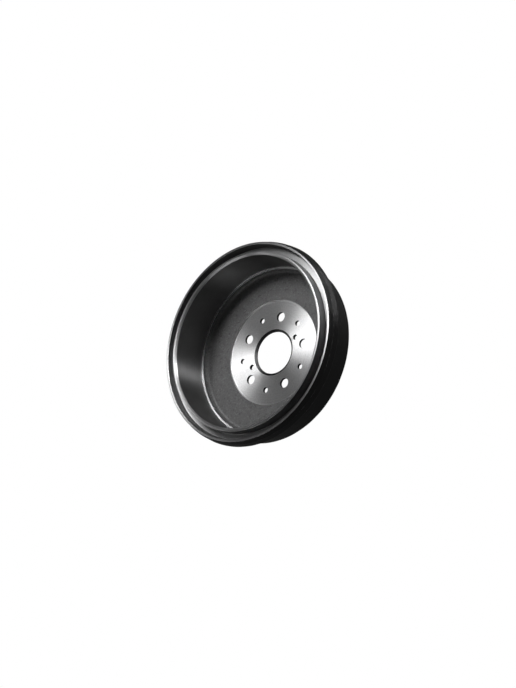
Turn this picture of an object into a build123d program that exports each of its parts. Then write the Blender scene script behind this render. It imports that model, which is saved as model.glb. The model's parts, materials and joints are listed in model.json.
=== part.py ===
from build123d import *
import math
import os

os.makedirs("parts", exist_ok=True)

# Driving dimensions, in millimetres and degrees.
# The wheel face lies on z = 0, the drum's axis is Z and its open end points to +Z.

# Brake ring: the turned bore that the shoes rub on, and the cast wall behind it
brake_diameter = 270.0
overall_height = 80.3
ring_wall = 10.1
body_draft = 1.5
back_chamfer = 9.0
back_edge_round = 3.0

# Inner lip: the raised end of the brake ring, with its turned lead-in
inner_lip_wall = 6.2
lead_in_width = 3.4
lead_in_depth = 2.8
lead_in_round = 0.6
lead_in_root_round = 2.5
lip_edge_break = 0.5

# Seal groove between the two lips
groove_width = 11.55
groove_depth = 13.9
groove_draft = 6.5
groove_inner_round = 1.0
groove_outer_round = 1.5

# Outer lip and the flange that carries it
outer_lip_drop = 2.2
outer_lip_width = 3.55
outer_lip_inner_round = 1.1
flange_depth = 20.5
flange_cone_height = 8.7
flange_cone_spread = 2.8
flange_side_draft = 7.0
flange_edge_round = 2.0
flange_shoulder_round = 1.5
flange_root_round = 5.0

# Closed end: the web, the turned hub pad inside and the wheel seat outside
web_thickness = 5.3
pad_diameter = 167.0
pad_recess = 2.1
pad_wall_lean = 0.7
pad_edge_break = 0.4
pad_root_round = 1.3
floor_slope = 1.8
seat_diameter = 178.0
seat_step = 0.8
seat_edge_chamfer = 1.0
seat_root_round = 0.5

# Inner corner: the unturned cast wall below the brake bore, and the ledge between them
inner_corner_round = 6.0
cast_wall_straight = 1.7
ledge_width = 3.0
ledge_root_round = 0.8
ledge_edge_break = 0.3

# Hub bore, with a wide lead for the root of the hub's pilot boss
hub_bore_diameter = 67.1
hub_bore_lead_width = 3.65
hub_bore_lead_depth = 2.0
hub_bore_edge_break = 1.55

# Hole patterns in the hub pad, the first stud hole on +Y
stud_circle = 114.3
stud_count = 5
stud_hole_diameter = 15.2
stud_hole_chamfer = 1.0
web_hole_circle = 120.4
web_hole_diameter = 8.8
web_hole_chamfer = 0.8
jack_circle = 90.2
jack_count = 2
jack_hole_diameter = 6.8
jack_hole_chamfer = 0.8
first_stud_angle = 90.0
first_jack_angle = 0.0

# How far a drill runs past both faces of the pad
drill_overrun = 1.0

# Radii worked out from the driving dimensions
brake_r = brake_diameter / 2
body_r = brake_r + ring_wall
cast_wall_r = brake_r - ledge_width
inner_lip_r = brake_r + inner_lip_wall
outer_lip_inner_r = inner_lip_r + groove_width
outer_lip_r = outer_lip_inner_r + outer_lip_width
flange_shoulder_r = outer_lip_r + flange_cone_spread
pad_r = pad_diameter / 2
seat_r = seat_diameter / 2
hub_bore_r = hub_bore_diameter / 2

# Heights worked out from the driving dimensions
pad_z = web_thickness
outer_lip_z = overall_height - outer_lip_drop
groove_floor_z = outer_lip_z - groove_depth
flange_shoulder_z = outer_lip_z - flange_cone_height
flange_rear_z = outer_lip_z - flange_depth
floor_edge_z = pad_z + pad_recess
pad_edge_r = pad_r + pad_wall_lean


def lean(height, angle):
    """How far a wall of this height leans sideways at a draft angle."""
    return height * math.tan(math.radians(angle))


floor_corner_z = floor_edge_z + lean(cast_wall_r - pad_edge_r, floor_slope)
ledge_z = floor_corner_z + inner_corner_round + cast_wall_straight
groove_floor_outer_r = outer_lip_inner_r - lean(groove_depth, groove_draft)
flange_r = flange_shoulder_r + lean(flange_depth - flange_cone_height, flange_side_draft)
body_corner_z = seat_step + back_chamfer
body_top_r = body_r + lean(flange_rear_z - body_corner_z, body_draft)


def closed_end_corners():
    """Radius, height and rounding of each corner from the hub bore out to the drum's back edge."""
    return [
        (hub_bore_r, hub_bore_edge_break, 0),
        (hub_bore_r + hub_bore_edge_break, 0, 0),
        (seat_r - seat_edge_chamfer, 0, 0),
        (seat_r, seat_step, seat_root_round),
        (body_r - back_chamfer, seat_step, back_edge_round),
        (body_r, body_corner_z, back_edge_round),
    ]


def flange_corners():
    """The same for the flange and its outer lip."""
    return [
        (body_top_r, flange_rear_z, flange_root_round),
        (flange_r, flange_rear_z, flange_edge_round),
        (flange_shoulder_r, flange_shoulder_z, flange_shoulder_round),
        (outer_lip_r, outer_lip_z, lip_edge_break),
        (outer_lip_inner_r, outer_lip_z, outer_lip_inner_round),
    ]


def groove_corners():
    """The same for the floor of the seal groove and the inner lip up to the brake bore."""
    return [
        (groove_floor_outer_r, groove_floor_z, groove_outer_round),
        (inner_lip_r, groove_floor_z, groove_inner_round),
        (inner_lip_r, overall_height, lip_edge_break),
        (brake_r + lead_in_width, overall_height, lead_in_round),
        (brake_r, overall_height - lead_in_depth, lead_in_root_round),
    ]


def inner_corners():
    """The same from the brake bore's inner end down to the floor, the hub pad and its bore."""
    return [
        (brake_r, ledge_z, ledge_root_round),
        (cast_wall_r, ledge_z, ledge_edge_break),
        (cast_wall_r, floor_corner_z, inner_corner_round),
        (pad_edge_r, floor_edge_z, pad_edge_break),
        (pad_r, pad_z, pad_root_round),
        (hub_bore_r + hub_bore_lead_width, pad_z, 0),
        (hub_bore_r, pad_z - hub_bore_lead_depth, 0),
    ]


def turned_casting():
    """The drum as one revolved section, before its holes are drilled."""
    corners = closed_end_corners() + flange_corners() + groove_corners() + inner_corners()
    with BuildPart() as casting:
        with BuildSketch(Plane.XZ):
            with BuildLine():
                FilletPolyline(
                    *[(radius, height) for radius, height, rounding in corners],
                    radius=[rounding for radius, height, rounding in corners],
                    close=True,
                )
            make_face()
        revolve(axis=Axis.Z)
    return casting.part


def drill(diameter, chamfer):
    """One drilled hole through the pad, with a countersunk edge on its wheel side."""
    radius = diameter / 2
    length = web_thickness + 2 * drill_overrun
    upright = (Align.CENTER, Align.CENTER, Align.MIN)
    with BuildPart() as tool:
        with Locations((0, 0, -drill_overrun)):
            Cylinder(radius, length, align=upright)
            Cone(radius + chamfer + drill_overrun, radius, chamfer + drill_overrun, align=upright)
    return tool.part


def countersink(diameter, chamfer):
    """The countersunk edge of a drilled hole on the pad's inner side."""
    radius = diameter / 2
    upright = (Align.CENTER, Align.CENTER, Align.MIN)
    with BuildPart() as tool:
        with Locations((0, 0, pad_z - chamfer)):
            Cone(radius, radius + chamfer + drill_overrun, chamfer + drill_overrun, align=upright)
    return tool.part


def drum():
    """The finished drum: one iron casting, turned and drilled."""
    stud_drill = drill(stud_hole_diameter, stud_hole_chamfer)
    web_drill = drill(web_hole_diameter, web_hole_chamfer)
    jack_drill = drill(jack_hole_diameter, jack_hole_chamfer)
    jack_sink = countersink(jack_hole_diameter, jack_hole_chamfer)
    half_pitch = 180.0 / stud_count
    with BuildPart() as finished:
        add(turned_casting())
        with PolarLocations(stud_circle / 2, stud_count, start_angle=first_stud_angle):
            add(stud_drill, mode=Mode.SUBTRACT)
        with PolarLocations(web_hole_circle / 2, stud_count, start_angle=first_stud_angle + half_pitch):
            add(web_drill, mode=Mode.SUBTRACT)
        with PolarLocations(jack_circle / 2, jack_count, start_angle=first_jack_angle):
            add(jack_drill, mode=Mode.SUBTRACT)
            add(jack_sink, mode=Mode.SUBTRACT)
    return finished.part


brake_drum = drum()
brake_drum.label = "brake_drum"
export_step(brake_drum, "parts/brake_drum.step")
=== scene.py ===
import json
import math
from collections import namedtuple

import bmesh
import bpy
from mathutils import Matrix, Vector
from mathutils.geometry import intersect_point_line


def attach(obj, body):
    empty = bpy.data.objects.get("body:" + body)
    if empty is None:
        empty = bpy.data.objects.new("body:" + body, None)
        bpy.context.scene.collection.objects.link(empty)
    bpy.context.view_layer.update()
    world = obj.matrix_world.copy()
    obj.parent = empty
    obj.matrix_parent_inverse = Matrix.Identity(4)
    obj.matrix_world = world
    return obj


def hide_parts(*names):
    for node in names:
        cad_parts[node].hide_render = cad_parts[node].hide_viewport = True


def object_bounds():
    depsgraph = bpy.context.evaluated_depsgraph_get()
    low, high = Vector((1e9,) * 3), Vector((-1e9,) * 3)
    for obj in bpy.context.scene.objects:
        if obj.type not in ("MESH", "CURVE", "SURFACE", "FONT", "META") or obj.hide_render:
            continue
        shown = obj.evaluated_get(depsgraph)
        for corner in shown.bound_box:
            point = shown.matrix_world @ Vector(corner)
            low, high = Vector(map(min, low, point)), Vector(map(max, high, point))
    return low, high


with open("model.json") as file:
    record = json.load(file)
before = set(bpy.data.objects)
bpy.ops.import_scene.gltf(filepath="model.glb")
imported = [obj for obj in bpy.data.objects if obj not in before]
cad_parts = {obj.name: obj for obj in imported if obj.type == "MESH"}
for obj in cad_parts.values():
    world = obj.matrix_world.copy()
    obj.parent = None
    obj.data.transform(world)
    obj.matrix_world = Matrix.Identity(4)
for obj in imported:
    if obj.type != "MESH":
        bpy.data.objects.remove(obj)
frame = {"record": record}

bl_info = {
    "name": "Brake drum",
    "version": (1, 0, 0),
    "blender": (4, 5, 0),
    "location": "3D View > Sidebar > Brake drum",
    "description": "Models a brake drum round its packed frame, with its finishes and a studio",
    "category": "Object",
}

MM = 0.001
NODE = "brake_drum"
CAD_LOW, CAD_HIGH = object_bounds()
MOUNTS = {mount["name"]: mount for mount in frame["record"]["mounts"]}

# Faces round the casting, a drill and a tap
RING_FACES = 300
DRILL_FACES = 48
THREAD_FACES = 32

# Largest step of a rounding, and the fewest steps of one
ROUNDING_STEP = math.radians(12)
LEAST_STEPS = 2

# How near a vertex lies to a ring that it's picked by, to one that it merges with and to a cut
PICK = 0.02 * MM
MERGE = PICK / 2
ON_CUT = PICK / 10

# Decimals of a metre that tell two rings of the casting apart
RING_DECIMALS = 5

# Finishes that show the waves of a sand mould, and the length of the steps they are made in
CAST_SKINS = ("paint", "cast")
SKIN_STEP = 2.2 * MM

# How far a drill and a tap run past the pad's faces
DRILL_OVERRUN = 1 * MM
TAP_OVERRUN = 0.4 * MM

# How far the tap's core stays inside the drilled wall, and whole turns before and beyond the pad
TAP_INSET = 0.02 * MM
TAP_RUN_IN = 2
TAP_RUN_OUT = 1

# Lean of the thread's flanks, and the flat at its root as a share of the pitch
THREAD_FLANK = math.radians(30)
THREAD_FLAT = 1 / 8

# How far a drilled hole's finish reaches past its wall, over its chamfer
HOLE_SPREAD = 1.5 * MM

# Least share of the axis in the normal of a level face
LEVEL = 0.98

# Faces that meet at less than this angle are shaded as one
SMOOTH_ANGLE = math.radians(32)

# Height of the fine grain in the painted skin
PAINT_GRAIN_HEIGHT = 0.09 * MM

WHITE = (1, 1, 1, 1)

# Each light's name, azimuth and elevation in degrees, width and height in metres, share of power
SOFTBOXES = (
    ("key_light", -92, 69.5, 1.1, 0.45, 0.23),
    ("high_light", -88, 56.5, 0.9, 0.6, 0.15),
    ("fill_light", 52, 31, 2.4, 0.7, 0.068),
    ("back_light", -2.6, 32, 1.2, 0.8, 0.032),
    ("side_light", -167.6, 18, 0.5, 0.8, 0.28),
    ("low_light", -150, -32, 2.2, 0.22, 0.07),
)

# The point that the lights look at, and x and y of the one that the camera looks at
LIGHTS_AIM = (0, 0, 0.03)
CAMERA_AIM = (21.08 * MM, -29.31 * MM)

# Heights of a direction where the room's lower brightness ends and its upper one begins
HORIZON = (-0.2, 0.3)

# A corner of the drum's section, with the finish of its next side and of its own rounding
Corner = namedtuple("Corner", "radius height rounding finish edge", defaults=("",))


def bore_radius(name):
    return MOUNTS[name]["dims"]["r_mm"] * MM


def hole_radius(name):
    return MOUNTS[name]["dims"]["hole_r_mm"] * MM


def circle_radius(name):
    return MOUNTS[name]["dims"]["pcd_mm"] * MM / 2


def length(name, description, default):
    """A length in metres that a user may change."""
    return bpy.props.FloatProperty(
        name=name, description=description, default=default, min=0, unit="LENGTH", precision=5
    )


def angle(name, description, degrees):
    """An angle that a user may change."""
    return bpy.props.FloatProperty(
        name=name,
        description=description,
        default=math.radians(degrees),
        subtype="ANGLE",
        unit="ROTATION",
    )


def colour(name, description, shade):
    """A linear colour that a user may change."""
    return bpy.props.FloatVectorProperty(
        name=name, description=description, default=shade, size=3, min=0, max=1, subtype="COLOR"
    )


def factor(name, description, default):
    """A share from 0 to 1 that a user may change."""
    return bpy.props.FloatProperty(
        name=name, description=description, default=default, min=0, max=1, subtype="FACTOR"
    )


class DrumSizes(bpy.types.PropertyGroup):
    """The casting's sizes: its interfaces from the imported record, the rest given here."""

    overall_height: length("Overall height", "From the wheel face to the inner lip", CAD_HIGH.z)
    brake_radius: length(
        "Brake radius", "Of the turned bore that the shoes rub on", bore_radius("brake_bore")
    )
    ring_wall: length("Ring wall", "Wall behind the brake bore at its closed end", 10.1 * MM)
    body_draft: angle("Body draft", "Lean of the cast wall outside", 1.5)
    back_chamfer: length("Back chamfer", "At the drum's back edge", 9 * MM)
    back_edge_round: length("Back edge rounding", "Along both edges of the back chamfer", 3 * MM)

    inner_lip_wall: length("Inner lip wall", "From the brake bore to the groove", 6.2 * MM)
    lead_in_width: length("Lead-in width", "Of the chamfer at the brake bore's mouth", 3.4 * MM)
    lead_in_depth: length("Lead-in depth", "Of the same chamfer along the axis", 2.8 * MM)
    lead_in_round: length("Lead-in rounding", "At the lead-in's outer edge", 0.6 * MM)
    lead_in_root_round: length(
        "Lead-in root rounding", "Where it runs into the brake bore", 2.5 * MM
    )
    lip_edge_break: length("Lip edge break", "Rounding along the lips' other edges", 0.5 * MM)

    groove_width: length("Groove width", "Of the seal groove at its mouth", 11.55 * MM)
    groove_depth: length("Groove depth", "Below the outer lip", 13.9 * MM)
    groove_draft: angle("Groove draft", "Lean of the groove's outer wall", 6.5)
    groove_inner_round: length("Groove inner rounding", "At the foot of the inner wall", 1 * MM)
    groove_outer_round: length("Groove outer rounding", "At the foot of the outer wall", 1.5 * MM)

    outer_lip_drop: length("Outer lip drop", "How far it stands below the inner lip", 2.2 * MM)
    outer_lip_width: length("Outer lip width", "Of its turned face", 3.55 * MM)
    outer_lip_inner_round: length("Outer lip inner rounding", "Towards the groove", 1.1 * MM)
    flange_depth: length("Flange depth", "From the outer lip to the flange's rear", 20.5 * MM)
    flange_cone_height: length("Flange cone height", "Of the slope below the outer lip", 8.7 * MM)
    flange_cone_spread: length(
        "Flange cone spread", "How far that slope reaches outwards", 2.8 * MM
    )
    flange_side_draft: angle("Flange side draft", "Lean of the flange's side", 7)
    flange_shoulder_round: length("Flange shoulder rounding", "Between slope and side", 1.5 * MM)
    flange_edge_round: length("Flange edge rounding", "At the flange's rear edge", 2 * MM)
    flange_root_round: length("Flange root rounding", "Between flange and body", 5 * MM)

    pad_height: length("Pad height", "Of the turned hub pad", MOUNTS["hub_face"]["pos_m"][2])
    pad_radius: length("Pad radius", "Of the turned hub pad", 83.5 * MM)
    pad_recess: length("Pad recess", "How deep the pad lies in the cast floor", 2.1 * MM)
    pad_wall_lean: length("Pad wall lean", "How far the recess's wall leans outwards", 0.7 * MM)
    pad_edge_break: length("Pad edge break", "At the top of the recess's wall", 0.4 * MM)
    pad_root_round: length("Pad root rounding", "At the foot of the recess's wall", 1.3 * MM)
    floor_slope: angle("Floor slope", "Rise of the cast floor towards its corner", 1.8)
    seat_radius: length("Seat radius", "Of the turned wheel seat outside", 89 * MM)
    seat_step: length("Seat step", "How far the seat stands proud of the cast back", 0.8 * MM)
    seat_edge_chamfer: length("Seat edge chamfer", "Along the seat's edge", 1 * MM)
    seat_root_round: length("Seat root rounding", "Where the seat's edge meets the back", 0.5 * MM)

    inner_corner_round: length("Inner corner rounding", "Between the cast floor and wall", 6 * MM)
    cast_wall_straight: length(
        "Cast wall straight", "Left between that rounding and the ledge", 1.7 * MM
    )
    ledge_width: length("Ledge width", "Of the turned ledge below the brake bore", 3 * MM)
    ledge_root_round: length("Ledge root rounding", "Towards the brake bore", 0.8 * MM)
    ledge_edge_break: length("Ledge edge break", "Towards the cast wall", 0.3 * MM)

    hub_bore_radius: length(
        "Hub bore radius", "Of the bore over the hub's pilot", bore_radius("hub_bore")
    )
    hub_bore_lead_width: length(
        "Hub bore lead width", "Of the chamfer on the pad's side", 3.65 * MM
    )
    hub_bore_lead_depth: length("Hub bore lead depth", "Of the same chamfer along the axis", 2 * MM)
    hub_bore_edge_break: length("Hub bore edge break", "Chamfer on the wheel's side", 1.55 * MM)

    stud_circle: length(
        "Stud circle", "Radius of the circle of stud holes", circle_radius("stud_holes")
    )
    stud_radius: length("Stud hole radius", "Of each wheel-stud hole", hole_radius("stud_holes"))
    stud_chamfer: length("Stud hole chamfer", "On the wheel's side", 1 * MM)
    web_circle: length(
        "Web hole circle", "Radius of the circle of small holes", circle_radius("web_holes")
    )
    web_radius: length("Web hole radius", "Of each small hole", hole_radius("web_holes"))
    web_chamfer: length("Web hole chamfer", "On the wheel's side", 0.8 * MM)
    jack_circle: length(
        "Jack hole circle", "Radius of the circle of jack-screw holes", circle_radius("jack_holes")
    )
    jack_radius: length(
        "Jack hole radius", "Core of the jack-screw thread", hole_radius("jack_holes")
    )
    jack_chamfer: length("Jack hole chamfer", "On both sides", 0.8 * MM)
    thread_pitch: length("Thread pitch", "Of the jack-screw thread", 1.25 * MM)
    thread_radius: length("Thread radius", "At the roots of the jack-screw thread", 4 * MM)

    skin_unevenness: length("Skin unevenness", "Height of the waves in the cast skin", 0.2 * MM)
    skin_wave: length("Skin wave", "Length of the waves in the cast skin", 14 * MM)


class DrumFinishes(bpy.types.PropertyGroup):
    """Colours and roughness of the drum's surfaces, some of them lighter or darker copies of turned
    iron that stand in for light and shade.
    """

    paint: colour("Paint", "Black paint on the casting outside", (0.0075, 0.0075, 0.0077))
    paint_roughness: factor("Paint roughness", "Of the black paint", 0.27)
    # Lighter grey that draws the flange's edges as streaks: partly paint rubbed thin, partly a
    # painted highlight.
    rubbed_paint_and_highlight: colour(
        "Rubbed paint", "Where the flange's edges are rubbed thin", (0.35, 0.35, 0.353)
    )
    rubbed_roughness: factor("Rubbed roughness", "Of the rubbed edges", 0.3)
    cast_iron: colour("Cast iron", "Bare sand-cast floor inside", (0.128, 0.128, 0.129))
    cast_roughness: factor("Cast roughness", "Of the sand-cast floor", 0.40)
    turned_iron: colour("Turned iron", "Bright turned faces", (0.66, 0.66, 0.665))
    turned_roughness: factor("Turned roughness", "Of the bright turned faces", 0.385)
    lip_iron: colour("Lip iron", "Turned faces of both lips and the lead-in", (0.60, 0.60, 0.605))
    lip_roughness: factor("Lip roughness", "Of those faces", 0.34)
    # Lighter than the other turned iron: painted light on the ledge, which lies in the wall's
    # shadow.
    lit_ledge_iron: colour("Ledge iron", "Turned ledge below the brake wall", (0.95, 0.95, 0.955))
    groove_iron: colour("Groove iron", "Turned floor of the seal groove", (0.57, 0.57, 0.575))
    # A darker copy of the groove's turned iron: painted shade on the groove's walls.
    shaded_groove_wall_iron: colour("Groove wall iron", "Turned walls of the seal groove", (0.16, 0.16, 0.162))
    # A darker copy of turned iron: painted shade on the brake wall inside the ring.
    shaded_brake_iron: colour(
        "Brake iron", "Finely turned wall that the shoes rub on", (0.23, 0.23, 0.232)
    )
    brake_roughness: factor("Brake roughness", "Of that wall and the groove's", 0.34)
    # Far darker than turned iron: painted shade in the hub bore and on its lead.
    shaded_bore_iron: colour("Bore iron", "Wall of the hub bore and its lead", (0.06, 0.06, 0.061))
    # Nearly black: painted shade inside the drilled holes.
    drilled_iron: colour("Drilled iron", "Walls of the drilled holes", (0.012, 0.012, 0.0125))
    drilled_roughness: factor("Drilled roughness", "Of the hub bore and the drilled holes", 0.38)


class DrumStudio(bpy.types.PropertyGroup):
    """Camera, floor and lights."""

    camera_azimuth: angle("Camera azimuth", "Of the camera from +X, seen from above", 130.307)
    camera_elevation: angle("Camera elevation", "Of the camera above the floor", 48.419)
    camera_roll: angle("Camera roll", "The drum lies on its side in the picture", 67.681)
    camera_distance: length("Camera distance", "From the point that it looks at", 2.1953)
    camera_lens: bpy.props.FloatProperty(
        name="Camera lens", description="Focal length of the lens", default=73.26, unit="CAMERA"
    )
    floor_size: length("Floor size", "Side of the pale floor", 12)
    room_above: factor("Room above", "Brightness of the room overhead", 0.038)
    room_below: factor("Room below", "Brightness of the room below the drum", 0.07)
    light_distance: length("Light distance", "Of every softbox from the drum", 3)
    light_power: bpy.props.FloatProperty(
        name="Light power", description="Of all the softboxes together", default=117, unit="POWER"
    )


def lean(height, draft):
    """How far a wall of this height leans sideways at a draft angle."""
    return height * math.tan(draft)


def section(size):
    """The drum's outline, from the hub bore round the outside and back inside.

    Each corner names the finish of the face that runs from it to the next one. Its rounding has
    that finish too, or an edge finish of its own.
    """
    inner_lip = size.brake_radius + size.inner_lip_wall
    outer_lip_inner = inner_lip + size.groove_width
    outer_lip = outer_lip_inner + size.outer_lip_width
    shoulder = outer_lip + size.flange_cone_spread
    flange = shoulder + lean(size.flange_depth - size.flange_cone_height, size.flange_side_draft)
    body = size.brake_radius + size.ring_wall
    lead_in = size.brake_radius + size.lead_in_width
    cast_wall = size.brake_radius - size.ledge_width
    pad_edge = size.pad_radius + size.pad_wall_lean

    top_z = size.overall_height
    lip_z = top_z - size.outer_lip_drop
    rear_z = lip_z - size.flange_depth
    shoulder_z = lip_z - size.flange_cone_height
    groove_z = lip_z - size.groove_depth
    chamfer_z = size.seat_step + size.back_chamfer
    floor_z = size.pad_height + size.pad_recess
    corner_z = floor_z + lean(cast_wall - pad_edge, size.floor_slope)
    ledge_z = corner_z + size.inner_corner_round + size.cast_wall_straight
    body_top = body + lean(rear_z - chamfer_z, size.body_draft)
    groove_foot = outer_lip_inner - lean(size.groove_depth, size.groove_draft)

    return [
        Corner(size.hub_bore_radius, size.hub_bore_edge_break, 0, "bore"),
        Corner(size.hub_bore_radius + size.hub_bore_edge_break, 0, 0, "seat"),
        Corner(size.seat_radius - size.seat_edge_chamfer, 0, 0, "seat"),
        Corner(size.seat_radius, size.seat_step, size.seat_root_round, "paint"),
        Corner(body - size.back_chamfer, size.seat_step, size.back_edge_round, "paint"),
        Corner(body, chamfer_z, size.back_edge_round, "paint"),
        Corner(body_top, rear_z, size.flange_root_round, "paint"),
        # The flange's two edges get the rubbed paint, partly a painted highlight.
        Corner(flange, rear_z, size.flange_edge_round, "paint", "rubbed"),
        Corner(shoulder, shoulder_z, size.flange_shoulder_round, "paint", "rubbed"),
        Corner(outer_lip, lip_z, size.lip_edge_break, "lip"),
        Corner(outer_lip_inner, lip_z, size.outer_lip_inner_round, "groove_wall"),
        Corner(groove_foot, groove_z, size.groove_outer_round, "groove"),
        Corner(inner_lip, groove_z, size.groove_inner_round, "groove_wall"),
        Corner(inner_lip, top_z, size.lip_edge_break, "lip"),
        Corner(lead_in, top_z, size.lead_in_round, "lip"),
        Corner(size.brake_radius, top_z - size.lead_in_depth, size.lead_in_root_round, "brake"),
        Corner(size.brake_radius, ledge_z, size.ledge_root_round, "ledge"),
        Corner(cast_wall, ledge_z, size.ledge_edge_break, "cast", "ledge"),
        Corner(cast_wall, corner_z, size.inner_corner_round, "cast"),
        Corner(pad_edge, floor_z, size.pad_edge_break, "pad"),
        Corner(size.pad_radius, size.pad_height, size.pad_root_round, "pad"),
        Corner(size.hub_bore_radius + size.hub_bore_lead_width, size.pad_height, 0, "bore"),
        Corner(size.hub_bore_radius, size.pad_height - size.hub_bore_lead_depth, 0, "bore"),
    ]


def spans(corners):
    """Each corner with the next one, the last with the first."""
    return list(zip(corners, corners[1:] + corners[:1]))


def flat(corner):
    """A corner as a point in the section's plane."""
    return Vector((corner.radius, corner.height, 0))


def turn_at(corners, index):
    """How far the outline turns at a corner, in radians."""
    before = flat(corners[index]) - flat(corners[index - 1])
    after = flat(corners[(index + 1) % len(corners)]) - flat(corners[index])
    return before.angle(after)


def rounding_reach(corners, index):
    """How far a corner's rounding reaches along its two sides."""
    return corners[index].rounding * math.tan(turn_at(corners, index) / 2)


def rounding_ends(corners, index):
    """Where a corner's rounding meets its two sides."""
    reach = rounding_reach(corners, index)
    place = flat(corners[index])
    before = flat(corners[index - 1]) - place
    after = flat(corners[(index + 1) % len(corners)]) - place
    return place + before.normalized() * reach, place + after.normalized() * reach


def in_section(point):
    """Where a point of the mesh lies in the section's plane."""
    return Vector((math.hypot(point.x, point.y), point.z, 0))


def ring_of(point):
    """What the points of one ring have in common, as a key that keeps what was found for them."""
    return round(point.x, RING_DECIMALS), round(point.y, RING_DECIMALS)


def on_ring(vertex, place):
    """Whether a vertex lies on the ring of a point of the section."""
    return (in_section(vertex.co) - place).length < PICK


def distance_to(point, start, end):
    """How far a point lies from the straight side between two others."""
    foot, share = intersect_point_line(point, start, end)
    return (point - (start if share < 0 else end if share > 1 else foot)).length


def deselect_all():
    bpy.ops.object.select_all(action="DESELECT")


def select_only(piece):
    """Selects one object and makes it the active one."""
    deselect_all()
    bpy.context.view_layer.objects.active = piece
    piece.select_set(True)


def edit(piece):
    """Opens one object in edit mode with nothing in it selected."""
    select_only(piece)
    bpy.ops.object.mode_set(mode="EDIT")
    bpy.ops.mesh.select_mode(type="EDGE")
    bpy.ops.mesh.select_all(action="DESELECT")


def pick(piece, kind, wanted):
    """Selects the edges or faces of the open mesh that a test wants."""
    mesh = bmesh.from_edit_mesh(piece.data)
    for part in getattr(mesh, kind):
        part.select_set(wanted(part))
    mesh.select_flush_mode()
    bmesh.update_edit_mesh(piece.data)


def extrude(offset):
    """Draws out what is selected."""
    bpy.ops.mesh.extrude_region_move(TRANSFORM_OT_translate={"value": offset})


def widen(scale, height):
    """Widens what is selected about the axis, at a height on it."""
    bpy.ops.transform.resize(value=(scale, scale, 1), center_override=(0, 0, height))


def face_outwards():
    """Turns the open mesh's faces outwards and leaves edit mode."""
    bpy.ops.mesh.select_all(action="SELECT")
    bpy.ops.mesh.normals_make_consistent(inside=False)
    bpy.ops.object.mode_set(mode="OBJECT")


def lathe(name, corners):
    """One circle drawn out from corner to corner and closed into a ring."""
    deselect_all()
    first = corners[0]
    bpy.ops.mesh.primitive_circle_add(vertices=RING_FACES, radius=first.radius)
    piece = bpy.context.object
    piece.name = piece.data.name = name
    edit(piece)
    bpy.ops.mesh.select_all(action="SELECT")
    bpy.ops.transform.translate(value=(0, 0, first.height))
    for last, corner in zip(corners, corners[1:]):
        extrude((0, 0, corner.height - last.height))
        widen(corner.radius / last.radius, corner.height)
    bpy.ops.mesh.select_all(action="DESELECT")
    bpy.ops.mesh.select_non_manifold()
    bpy.ops.mesh.bridge_edge_loops()
    face_outwards()
    return piece


def round_corners(piece, corners):
    """Bevels each ring edge that has a rounding into an arc of that radius."""
    edit(piece)
    for index, corner in enumerate(corners):
        if not corner.rounding:
            continue
        place = flat(corner)
        pick(piece, "edges", lambda edge: all(on_ring(vertex, place) for vertex in edge.verts))
        bpy.ops.mesh.bevel(
            offset_type="OFFSET",
            offset=rounding_reach(corners, index),
            segments=max(LEAST_STEPS, math.ceil(turn_at(corners, index) / ROUNDING_STEP)),
            profile=0.5,
            affect="EDGES",
            clamp_overlap=False,
        )
    bpy.ops.object.mode_set(mode="OBJECT")


def divide_spans(piece, corners):
    """Cuts the long cast faces into rings a step apart, for the waves of their skin."""
    edit(piece)
    for start, end in spans(corners):
        if start.finish not in CAST_SKINS:
            continue
        a, b = flat(start), flat(end)
        cuts = int((b - a).length / SKIN_STEP) - 1
        if cuts < 1:
            continue

        def runs_along(edge):
            ends = [in_section(vertex.co) for vertex in edge.verts]
            if (ends[0] - ends[1]).length < PICK:
                return False
            return all((intersect_point_line(p, a, b)[0] - p).length < PICK for p in ends)

        pick(piece, "edges", runs_along)
        bpy.ops.mesh.subdivide_edgering(number_cuts=cuts, interpolation="LINEAR", smoothness=0)
    bpy.ops.object.mode_set(mode="OBJECT")


def apply_modifier(piece, kind, settings):
    """Adds a modifier, sets it and applies it."""
    select_only(piece)
    modifier = piece.modifiers.new(kind.lower(), kind)
    for name, value in settings.items():
        setattr(modifier, name, value)
    bpy.ops.object.modifier_apply(modifier=modifier.name)


def roughen_skin(piece, corners, size):
    """Gives the cast faces the gentle waves of a sand mould, which die out at the turned ones."""
    group = piece.vertex_groups.new(name="cast_skin")
    cast = [(flat(a), flat(b)) for a, b in spans(corners) if a.finish in CAST_SKINS]
    turned = [(flat(a), flat(b)) for a, b in spans(corners) if a.finish not in CAST_SKINS]
    fade = size.skin_wave / 2
    weights = {}
    for vertex in piece.data.vertices:
        point = in_section(vertex.co)
        ring = ring_of(point)
        if ring not in weights:
            to_cast = min(distance_to(point, *side) for side in cast)
            to_turned = min(distance_to(point, *side) for side in turned)
            weights[ring] = 0 if to_cast > to_turned else min(1, to_turned / fade)
        if weights[ring]:
            group.add([vertex.index], weights[ring], "REPLACE")
    waves = bpy.data.textures.new("cast_skin_waves", "CLOUDS")
    waves.noise_scale = size.skin_wave
    waves.noise_depth = 0
    apply_modifier(piece, "DISPLACE", {
        "texture": waves,
        "texture_coords": "LOCAL",
        "vertex_group": "cast_skin",
        "strength": size.skin_unevenness,
        "mid_level": 0.5,
    })
    piece.vertex_groups.clear()


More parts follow.
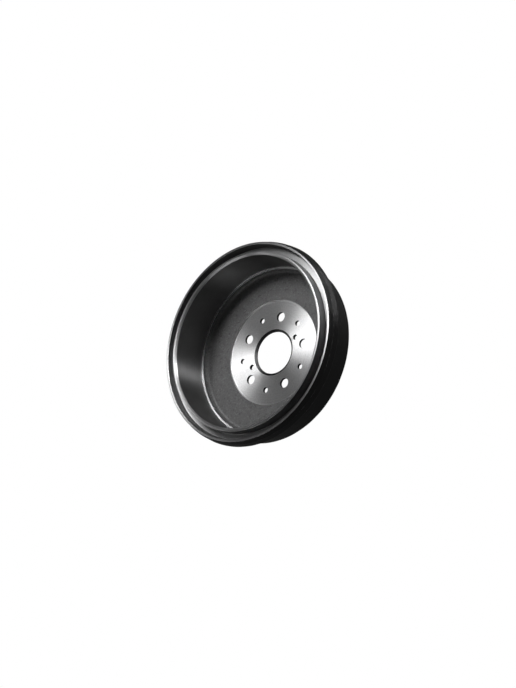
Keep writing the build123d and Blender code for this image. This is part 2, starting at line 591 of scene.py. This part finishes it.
def drill_bit(radius, chamfer, size, both_sides):
    """A drill with a countersink for the wheel's side and, if wanted, one for the pad's side."""
    top = size.pad_height - (chamfer if both_sides else -DRILL_OVERRUN)
    deselect_all()
    bpy.ops.mesh.primitive_cylinder_add(
        vertices=DRILL_FACES,
        radius=radius,
        depth=top - chamfer,
        location=(0, 0, (top + chamfer) / 2),
    )
    bit = bpy.context.object
    bpy.ops.object.transform_apply(location=True)
    edit(bit)
    bpy.ops.mesh.select_mode(type="FACE")
    ends = [(-1, chamfer)] + ([(1, top)] if both_sides else [])
    for way, height in ends:
        pick(bit, "faces", lambda face: face.normal.z * way > LEVEL)
        reach = way * (chamfer + DRILL_OVERRUN)
        extrude((0, 0, reach))
        widen((radius + chamfer + DRILL_OVERRUN) / radius, height + reach)
    bpy.ops.object.mode_set(mode="OBJECT")
    return bit


def thread_tap(size):
    """A tap for the jack-screw holes: one tooth wound up on a screw line and cut off square."""
    depth = size.thread_radius - size.jack_radius
    root = size.thread_pitch * THREAD_FLAT
    flank = depth * math.tan(THREAD_FLANK)
    crest = size.thread_pitch - root - 2 * flank
    core = size.jack_radius - TAP_INSET
    deselect_all()
    bpy.ops.mesh.primitive_plane_add(size=size.thread_pitch)
    tap = bpy.context.object
    edit(tap)
    bpy.ops.mesh.select_mode(type="VERT")
    bpy.ops.mesh.select_all(action="SELECT")
    bpy.ops.mesh.merge(type="CENTER")
    bpy.ops.transform.translate(value=(core, 0, -TAP_RUN_IN * size.thread_pitch))
    reach = size.thread_radius - core
    for out, up in ((0, crest), (reach, flank), (0, root), (-reach, flank)):
        extrude((out, 0, up))
    bpy.ops.object.mode_set(mode="OBJECT")
    turns = math.ceil(size.pad_height / size.thread_pitch) + TAP_RUN_IN + TAP_RUN_OUT
    apply_modifier(tap, "SCREW", {
        "axis": "Z",
        "angle": math.tau,
        "screw_offset": size.thread_pitch,
        "iterations": turns,
        "steps": THREAD_FACES,
        "render_steps": THREAD_FACES,
        "use_merge_vertices": True,
        "merge_threshold": MERGE,
    })
    edit(tap)
    bpy.ops.mesh.select_all(action="SELECT")
    bpy.ops.mesh.remove_doubles(threshold=MERGE)
    for height, way in ((-TAP_OVERRUN, -1), (size.pad_height + TAP_OVERRUN, 1)):
        bpy.ops.mesh.select_all(action="SELECT")
        bpy.ops.mesh.bisect(
            plane_co=(0, 0, height),
            plane_no=(0, 0, way),
            use_fill=True,
            clear_outer=True,
            threshold=ON_CUT,
        )
    face_outwards()
    return tap


def hole_places(size):
    """Circle radius, hole radius and angles of each kind of hole, the first stud hole on +Y."""
    studs = MOUNTS["stud_holes"]["dims"]["count"]
    jacks = MOUNTS["jack_holes"]["dims"]["count"]
    pitch = math.tau / studs
    first = math.pi / 2
    stud_turns = [first + i * pitch for i in range(studs)]
    web_turns = [first + (i + 0.5) * pitch for i in range(studs)]
    jack_turns = [i * math.tau / jacks for i in range(jacks)]
    return {
        "stud": (size.stud_circle, size.stud_radius, stud_turns),
        "web": (size.web_circle, size.web_radius, web_turns),
        "jack": (size.jack_circle, size.jack_radius, jack_turns),
    }


def pattern(tool, circle, angles):
    """Copies a tool to each angle of a circle and takes the first one away."""
    copies = []
    for turn in angles:
        copy = tool.copy()
        copy.data = tool.data.copy()
        copy.data.transform(Matrix.Rotation(turn, 4, "Z") @ Matrix.Translation((circle, 0, 0)))
        bpy.context.scene.collection.objects.link(copy)
        copies.append(copy)
    bpy.data.objects.remove(tool)
    return copies


def cut(piece, tools):
    """Takes the tools' volume away from a piece."""
    deselect_all()
    for tool in tools:
        tool.select_set(True)
    bpy.context.view_layer.objects.active = tools[0]
    bpy.ops.object.join()
    tool = bpy.context.object
    apply_modifier(piece, "BOOLEAN", {"operation": "DIFFERENCE", "solver": "EXACT", "object": tool})
    bpy.data.objects.remove(tool)


def finish_faces(piece, corners, size, slots):
    """Gives each face the material of the section's side or rounding that it belongs to."""
    lines = [(flat(a), flat(b), a.finish) for a, b in spans(corners)]
    for index, corner in enumerate(corners):
        if corner.rounding:
            lines.append((*rounding_ends(corners, index), corner.edge or corner.finish))
    holes = [
        (circle * math.cos(turn), circle * math.sin(turn), radius + HOLE_SPREAD)
        for circle, radius, turns in hole_places(size).values()
        for turn in turns
    ]
    found = {}
    for face in piece.data.polygons:
        centre = face.center
        in_hole = any(math.hypot(centre.x - x, centre.y - y) < reach for x, y, reach in holes)
        if in_hole and abs(face.normal.z) < LEVEL:
            face.material_index = slots["drilled"]
            continue
        point = in_section(centre)
        ring = ring_of(point)
        if ring not in found:
            found[ring] = min((distance_to(point, a, b), finish) for a, b, finish in lines)[1]
        face.material_index = slots[found[ring]]


def shade(piece):
    """Smooth shading that keeps the sharp edges and the large flat faces true."""
    select_only(piece)
    bpy.ops.object.shade_smooth_by_angle(angle=SMOOTH_ANGLE)
    settings = {"mode": "FACE_AREA", "weight": 100, "keep_sharp": True}
    apply_modifier(piece, "WEIGHTED_NORMAL", settings)


class Value:
    """A node's output that can be used in ordinary sums."""

    def __init__(self, nodes, socket):
        self.nodes = nodes
        self.socket = socket

    def maths(self, operation, *terms):
        """One Math node on these terms."""
        return self.nodes.add("ShaderNodeMath", {"operation": operation}, dict(enumerate(terms)))

    def __add__(self, other):
        return self.maths("ADD", self, other)

    def __sub__(self, other):
        return self.maths("SUBTRACT", self, other)

    def __rsub__(self, other):
        return self.maths("SUBTRACT", other, self)

    def __mul__(self, other):
        return self.maths("MULTIPLY", self, other)

    __radd__ = __add__
    __rmul__ = __mul__

    def root(self):
        """Its square root."""
        return self.maths("SQRT", self)

    def between(self, low, high):
        """0 below low, 1 above high and a smooth step in between."""
        inputs = {"Value": self, "From Min": low, "From Max": high}
        return self.nodes.add("ShaderNodeMapRange", {"interpolation_type": "SMOOTHSTEP"}, inputs)


class Nodes:
    """The node tree of a material or a world."""

    def __init__(self, owner):
        owner.use_nodes = True
        self.tree = owner.node_tree
        self.tree.nodes.clear()

    def add(self, kind, settings=None, inputs=None, output=0):
        """Adds a node, sets it, then fills or links its sockets, and gives one of its outputs."""
        node = self.tree.nodes.new(kind)
        for name, value in (settings or {}).items():
            setattr(node, name, value)
        for name, value in (inputs or {}).items():
            if isinstance(value, Value):
                self.tree.links.new(value.socket, node.inputs[name])
            else:
                node.inputs[name].default_value = value
        return Value(self, node.outputs[output]) if node.outputs else None

    def place(self):
        """The point on the object, in its own coordinates."""
        return self.add("ShaderNodeTexCoord", output="Object")

    def axes(self):
        """The object's x, y and z."""
        first = self.add("ShaderNodeSeparateXYZ", {}, {0: self.place()})
        return [Value(self, socket) for socket in first.socket.node.outputs]

    def noise(self, size, detail, roughness=0.5):
        """Noise whose grains are about this size."""
        inputs = {
            "Vector": self.place(),
            "Scale": 1 / size,
            "Detail": detail,
            "Roughness": roughness,
        }
        return self.add("ShaderNodeTexNoise", {"noise_dimensions": "3D"}, inputs)

    def rings(self, along, size, detail):
        """Noise along one distance only, as a tool leaves on a turned face."""
        inputs = {"W": along, "Scale": 1 / size, "Detail": detail}
        return self.add("ShaderNodeTexNoise", {"noise_dimensions": "1D"}, inputs)

    def mix(self, share, first, second):
        """A blend of two colours."""
        inputs = {0: share, 6: first, 7: second}
        return self.add("ShaderNodeMix", {"data_type": "RGBA"}, inputs, output=2)

    def tint(self, shade, level):
        """A colour made lighter or darker by a number."""
        return self.add("ShaderNodeVectorMath", {"operation": "SCALE"}, {0: shade, "Scale": level})

    def bump(self, height, distance, over=None):
        """A normal that leans with a height, which is worth this distance in metres."""
        inputs = {"Height": height, "Distance": distance, "Strength": 1}
        if over:
            inputs["Normal"] = over
        return self.add("ShaderNodeBump", {}, inputs)

    def surface(self, inputs):
        """A Principled surface on the material's output."""
        shader = self.add("ShaderNodeBsdfPrincipled", {}, inputs)
        self.add("ShaderNodeOutputMaterial", {}, {"Surface": shader})


def rgba(shade):
    return (*shade, 1)


def paint_grain(nodes):
    """The fine grain of the painted skin."""
    return nodes.noise(0.9 * MM, detail=3)


def painted_iron(finish):
    """Black paint over sand-cast iron: a fine skin with soft waves and a few dust nibs."""
    material = bpy.data.materials.new("black_paint_on_iron")
    nodes = Nodes(material)
    grain = paint_grain(nodes)
    waves = nodes.noise(9 * MM, detail=1)
    patches = nodes.noise(30 * MM, detail=3)
    nibs = nodes.noise(1.7 * MM, detail=0).between(0.66, 0.76)
    skin = nodes.bump(waves, 0.3 * MM)
    skin = nodes.bump(grain + nibs * 0.8, PAINT_GRAIN_HEIGHT, over=skin)
    nodes.surface({
        "Base Color": nodes.tint(finish.paint, 0.85 + patches * 0.3),
        "Roughness": finish.paint_roughness - 0.05 + patches * 0.1 + grain * 0.06,
        "Normal": skin,
    })
    return material


def rubbed_paint_and_highlight(finish):
    """The same paint rubbed thin along the flange's two edges, its lighter grey partly wear and
    partly a painted highlight.
    """
    material = bpy.data.materials.new("rubbed_paint_on_iron")
    nodes = Nodes(material)
    # Where the lighter grey shows: worn paint, and painted highlight streaks.
    wear_and_highlight = nodes.noise(5 * MM, detail=3).between(0.3, 0.7)
    grain = paint_grain(nodes)
    nodes.surface({
        "Base Color": nodes.mix(wear_and_highlight, rgba(finish.paint), rgba(finish.rubbed_paint_and_highlight)),
        "Metallic": 0.3,
        "Roughness": finish.rubbed_roughness + grain * 0.06,
        "Normal": nodes.bump(grain, PAINT_GRAIN_HEIGHT),
    })
    return material


def cast_iron(finish):
    """Bare sand-cast iron: a dull grey skin with sand grain, pits and faint stains."""
    material = bpy.data.materials.new("sand_cast_iron")
    nodes = Nodes(material)
    grain = nodes.noise(1.6 * MM, detail=4, roughness=0.65)
    pits = nodes.noise(3.2 * MM, detail=1).between(0.58, 0.68)
    stains = nodes.noise(26 * MM, detail=4)
    speck = nodes.noise(2.4 * MM, detail=2).between(0.54, 0.66)
    shade = 0.66 + grain * 0.5 + stains * 0.2 - pits * 0.32 + speck * 0.36
    nodes.surface({
        "Base Color": nodes.tint(finish.cast_iron, shade),
        "Metallic": 0.25,
        "Roughness": finish.cast_roughness + grain * 0.1,
        "Normal": nodes.bump(grain - pits * 0.9, 0.3 * MM),
    })
    return material


def tool_path(nodes, along):
    """How far the tool has moved: along the axis, along the radius or along both."""
    x, y, height = nodes.axes()
    if along == "axis":
        return height
    radius = (x * x + y * y).root()
    return radius if along == "radius" else radius + height


def turned_iron(name, shade, roughness, along, depth, brush=0.83, metal=1, graze=1, marks=0.08):
    """Turned iron: rings of tool marks of this depth, which stretch the highlights across them."""
    material = bpy.data.materials.new(name)
    nodes = Nodes(material)
    path = tool_path(nodes, along)
    fine = nodes.rings(path, 0.35 * MM, detail=2)
    broad = nodes.rings(path, 2.4 * MM, detail=3)
    cloud = nodes.noise(18 * MM, detail=3)
    smear = nodes.noise(1.8 * MM, detail=3).between(0.35, 0.65)
    nodes.surface({
        "Base Color": nodes.tint(shade, 0.8 + broad * 0.2 + cloud * 0.12 + smear * marks),
        "Metallic": metal,
        "Roughness": roughness - 0.04 + broad * 0.05 + cloud * 0.04,
        "Anisotropic": brush,
        "Anisotropic Rotation": 0.25,
        "Specular Tint": (graze, graze, graze, 1),
        "Normal": nodes.bump(fine, depth),
    })
    return material


def drum_materials(finish):
    """Each finish of the section with its material, in the order of the casting's slots."""
    turned = finish.turned_roughness
    brake = finish.brake_roughness
    drilled = finish.drilled_roughness
    return {
        "paint": painted_iron(finish),
        "rubbed": rubbed_paint_and_highlight(finish),
        "cast": cast_iron(finish),
        "pad": turned_iron(
            "turned_hub_pad", finish.turned_iron, turned, "radius", 0.009 * MM,
            metal=0.92, marks=0.2,
        ),
        # The ledge: a lighter copy of turned iron, painted light.
        "ledge": turned_iron(
            "turned_ledge", finish.lit_ledge_iron, turned, "radius", 0.006 * MM, brush=0.7
        ),
        "lip": turned_iron(
            "turned_lip", finish.lip_iron, finish.lip_roughness, "radius", 0.01 * MM
        ),
        "groove": turned_iron("turned_groove", finish.groove_iron, turned, "both", 0.02 * MM),
        # The groove's walls: a darker copy of the groove's turned iron, painted shade.
        "groove_wall": turned_iron("groove_wall", finish.shaded_groove_wall_iron, brake, "both", 0.02 * MM),
        # The brake wall: a darker copy of turned iron, painted shade.
        "brake": turned_iron(
            "turned_brake_wall", finish.shaded_brake_iron, brake, "axis", 0.004 * MM,
            brush=0.95, graze=0.4, marks=0.04,
        ),
        "seat": turned_iron("turned_wheel_seat", finish.turned_iron, turned, "radius", 0.01 * MM),
        # The hub bore and its lead: darkened turned iron, painted shade.
        "bore": turned_iron("turned_hub_bore", finish.shaded_bore_iron, drilled, "both", 0.01 * MM),
        # The drilled holes' walls: nearly black iron, painted shade.
        "drilled": turned_iron("drilled_iron", finish.drilled_iron, drilled, "axis", 0.01 * MM),
    }


class BRAKEDRUM_OT_casting(bpy.types.Operator):
    """Model the drum's casting, turn it, drill it and tap its jack-screw holes"""

    bl_idname = "brakedrum.casting"
    bl_label = "Casting"

    def execute(self, context):
        size = context.scene.drum_sizes
        corners = section(size)
        casting = lathe("brake_drum_casting", corners)
        round_corners(casting, corners)
        divide_spans(casting, corners)
        roughen_skin(casting, corners, size)

        places = hole_places(size)
        chamfers = {"stud": size.stud_chamfer, "web": size.web_chamfer, "jack": size.jack_chamfer}
        bits = []
        for kind, (circle, radius, turns) in places.items():
            bit = drill_bit(radius, chamfers[kind], size, both_sides=kind == "jack")
            bits += pattern(bit, circle, turns)
        cut(casting, bits)
        circle, radius, turns = places["jack"]
        cut(casting, pattern(thread_tap(size), circle, turns))
        if not casting.data.polygons:
            raise RuntimeError("the casting has no faces left after its holes were cut")

        materials = drum_materials(context.scene.drum_finishes)
        casting.data.materials.clear()
        for material in materials.values():
            casting.data.materials.append(material)
        slots = {finish: index for index, finish in enumerate(materials)}
        finish_faces(casting, corners, size, slots)
        shade(casting)
        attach(casting, "root")
        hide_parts(NODE)
        return {"FINISHED"}


def aim(thing, place, target, roll=0.0):
    """Puts a light or camera at a place, looking at a target, with its top turned by a roll."""
    forward = (target - place).normalized()
    level = (Vector((0, 0, 1)) - forward.z * forward).normalized()
    up = math.cos(roll) * level + math.sin(roll) * forward.cross(level)
    right = forward.cross(up)
    turned = Matrix((right, up, -forward)).transposed().to_4x4()
    thing.matrix_world = Matrix.Translation(place) @ turned


def direction(azimuth, elevation):
    """A unit vector from angles about the drum's axis and above its wheel face."""
    across = math.cos(elevation)
    return Vector((across * math.cos(azimuth), across * math.sin(azimuth), math.sin(elevation)))


def softbox(studio, name, azimuth, elevation, width, height, share):
    """A soft rectangular light that looks at the drum, with its share of the lights' power."""
    data = bpy.data.lights.new(name, "AREA")
    data.shape = "RECTANGLE"
    data.size = width
    data.size_y = height
    data.energy = studio.light_power * share
    lamp = bpy.data.objects.new(name, data)
    bpy.context.scene.collection.objects.link(lamp)
    way = direction(math.radians(azimuth), math.radians(elevation))
    aim(lamp, way * studio.light_distance, Vector(LIGHTS_AIM))


def lay_floor(studio):
    """A floor that is white from above, clear from below and out of the drum's reflections."""
    deselect_all()
    bpy.ops.mesh.primitive_plane_add(size=studio.floor_size, location=(0, 0, CAD_LOW.z))
    floor = bpy.context.object
    floor.name = "studio_floor"
    floor.visible_diffuse = False
    floor.visible_glossy = False
    floor.visible_shadow = False
    material = bpy.data.materials.new("white_floor")
    nodes = Nodes(material)
    glow = nodes.add("ShaderNodeEmission", {}, {"Color": WHITE, "Strength": 1})
    clear = nodes.add("ShaderNodeBsdfTransparent")
    below = nodes.add("ShaderNodeNewGeometry", output="Backfacing")
    both = nodes.add("ShaderNodeMixShader", {}, {0: below, 1: glow, 2: clear})
    nodes.add("ShaderNodeOutputMaterial", {}, {"Surface": both})
    floor.data.materials.append(material)


def light_room(studio):
    """A room that is white behind the drum, and dim in what it reflects."""
    world = bpy.data.worlds.new("studio_room")
    bpy.context.scene.world = world
    nodes = Nodes(world)
    way = nodes.add("ShaderNodeTexCoord", output="Generated")
    height = nodes.add("ShaderNodeSeparateXYZ", {}, {0: way}, output=2)
    rise = studio.room_above - studio.room_below
    room = height.between(*HORIZON) * rise + studio.room_below
    seen = nodes.add("ShaderNodeLightPath", output="Is Camera Ray")
    strength = room + seen * (1 - room)
    backdrop = nodes.add("ShaderNodeBackground", {}, {"Color": WHITE, "Strength": strength})
    nodes.add("ShaderNodeOutputWorld", {}, {"Surface": backdrop})


def place_camera(studio, height):
    """The camera, which looks at a point at this height from its own angles and distance."""
    camera = bpy.data.objects.new("camera", bpy.data.cameras.new("camera"))
    bpy.context.scene.collection.objects.link(camera)
    bpy.context.scene.camera = camera
    camera.data.lens = studio.camera_lens
    target = Vector((*CAMERA_AIM, height))
    way = direction(studio.camera_azimuth, studio.camera_elevation)
    aim(camera, target + way * studio.camera_distance, target, studio.camera_roll)


class BRAKEDRUM_OT_studio(bpy.types.Operator):
    """Set up the white floor, the soft lights and the camera"""

    bl_idname = "brakedrum.studio"
    bl_label = "Studio"

    def execute(self, context):
        studio = context.scene.drum_studio
        lay_floor(studio)
        light_room(studio)
        for light in SOFTBOXES:
            softbox(studio, *light)
        place_camera(studio, context.scene.drum_sizes.pad_height)
        context.scene.view_settings.view_transform = "Standard"
        return {"FINISHED"}


class BRAKEDRUM_PT_panel(bpy.types.Panel):
    """Shows the buttons that make the drum and the studio, and the drum's sizes, finishes and
    studio settings
    """

    bl_label = "Brake drum"
    bl_idname = "BRAKEDRUM_PT_panel"
    bl_space_type = "VIEW_3D"
    bl_region_type = "UI"
    bl_category = "Brake drum"

    def draw(self, context):
        layout = self.layout
        layout.operator(BRAKEDRUM_OT_casting.bl_idname)
        layout.operator(BRAKEDRUM_OT_studio.bl_idname)
        for scene_name, group in GROUPS.items():
            box = layout.box()
            for name in group.__annotations__:
                box.prop(getattr(context.scene, scene_name), name)


GROUPS = {"drum_sizes": DrumSizes, "drum_finishes": DrumFinishes, "drum_studio": DrumStudio}
CLASSES = (*GROUPS.values(), BRAKEDRUM_OT_casting, BRAKEDRUM_OT_studio, BRAKEDRUM_PT_panel)


def register():
    for cls in CLASSES:
        bpy.utils.register_class(cls)
    for scene_name, group in GROUPS.items():
        setattr(bpy.types.Scene, scene_name, bpy.props.PointerProperty(type=group))


def unregister():
    for scene_name in GROUPS:
        delattr(bpy.types.Scene, scene_name)
    for cls in reversed(CLASSES):
        bpy.utils.unregister_class(cls)


def main():
    """Registers the classes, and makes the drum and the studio."""
    register()
    bpy.ops.brakedrum.casting()
    bpy.ops.brakedrum.studio()


if __name__ == "__main__":
    main()
